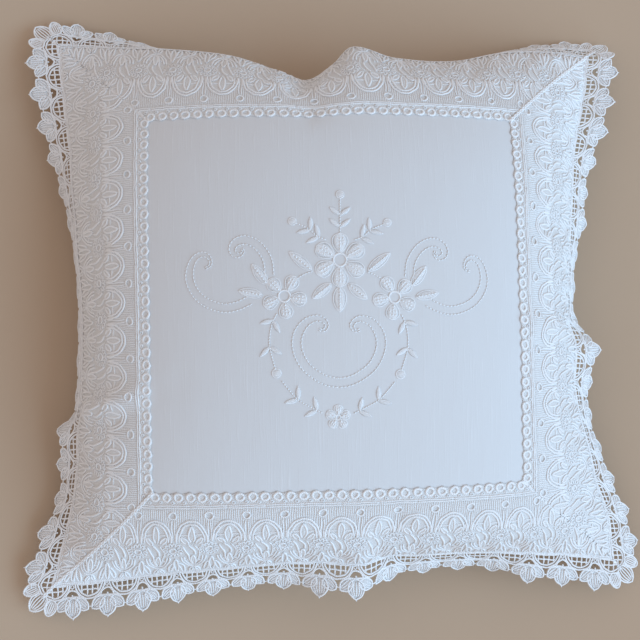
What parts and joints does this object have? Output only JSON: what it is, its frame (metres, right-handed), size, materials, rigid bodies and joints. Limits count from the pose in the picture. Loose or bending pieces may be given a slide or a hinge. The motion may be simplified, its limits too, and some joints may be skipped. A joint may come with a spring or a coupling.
{
  "type": "filled cushion cover with lace border",
  "caption": "Filled square cushion in a plain white cover, with mitred lace strips round the front whose scalloped edge hangs free past the seam.",
  "frame": {"origin": "middle of the flat spot on the back, where the cushion rests", "axes": "+Z out of the embroidered face, +Y to the top side of the face, +X to its right side"},
  "size_m": [0.4353, 0.4266, 0.124],
  "materials": {
    "linen": "plain woven white linen, matt, with faint slubs",
    "lace": "white cotton lace with raised cords and net, matt"
  },
  "bodies": {
    "root": {"cushion": "linen", "lace_bottom": "lace", "lace_right": "lace", "lace_top": "lace", "lace_left": "lace"}
  },
  "joints": []
}
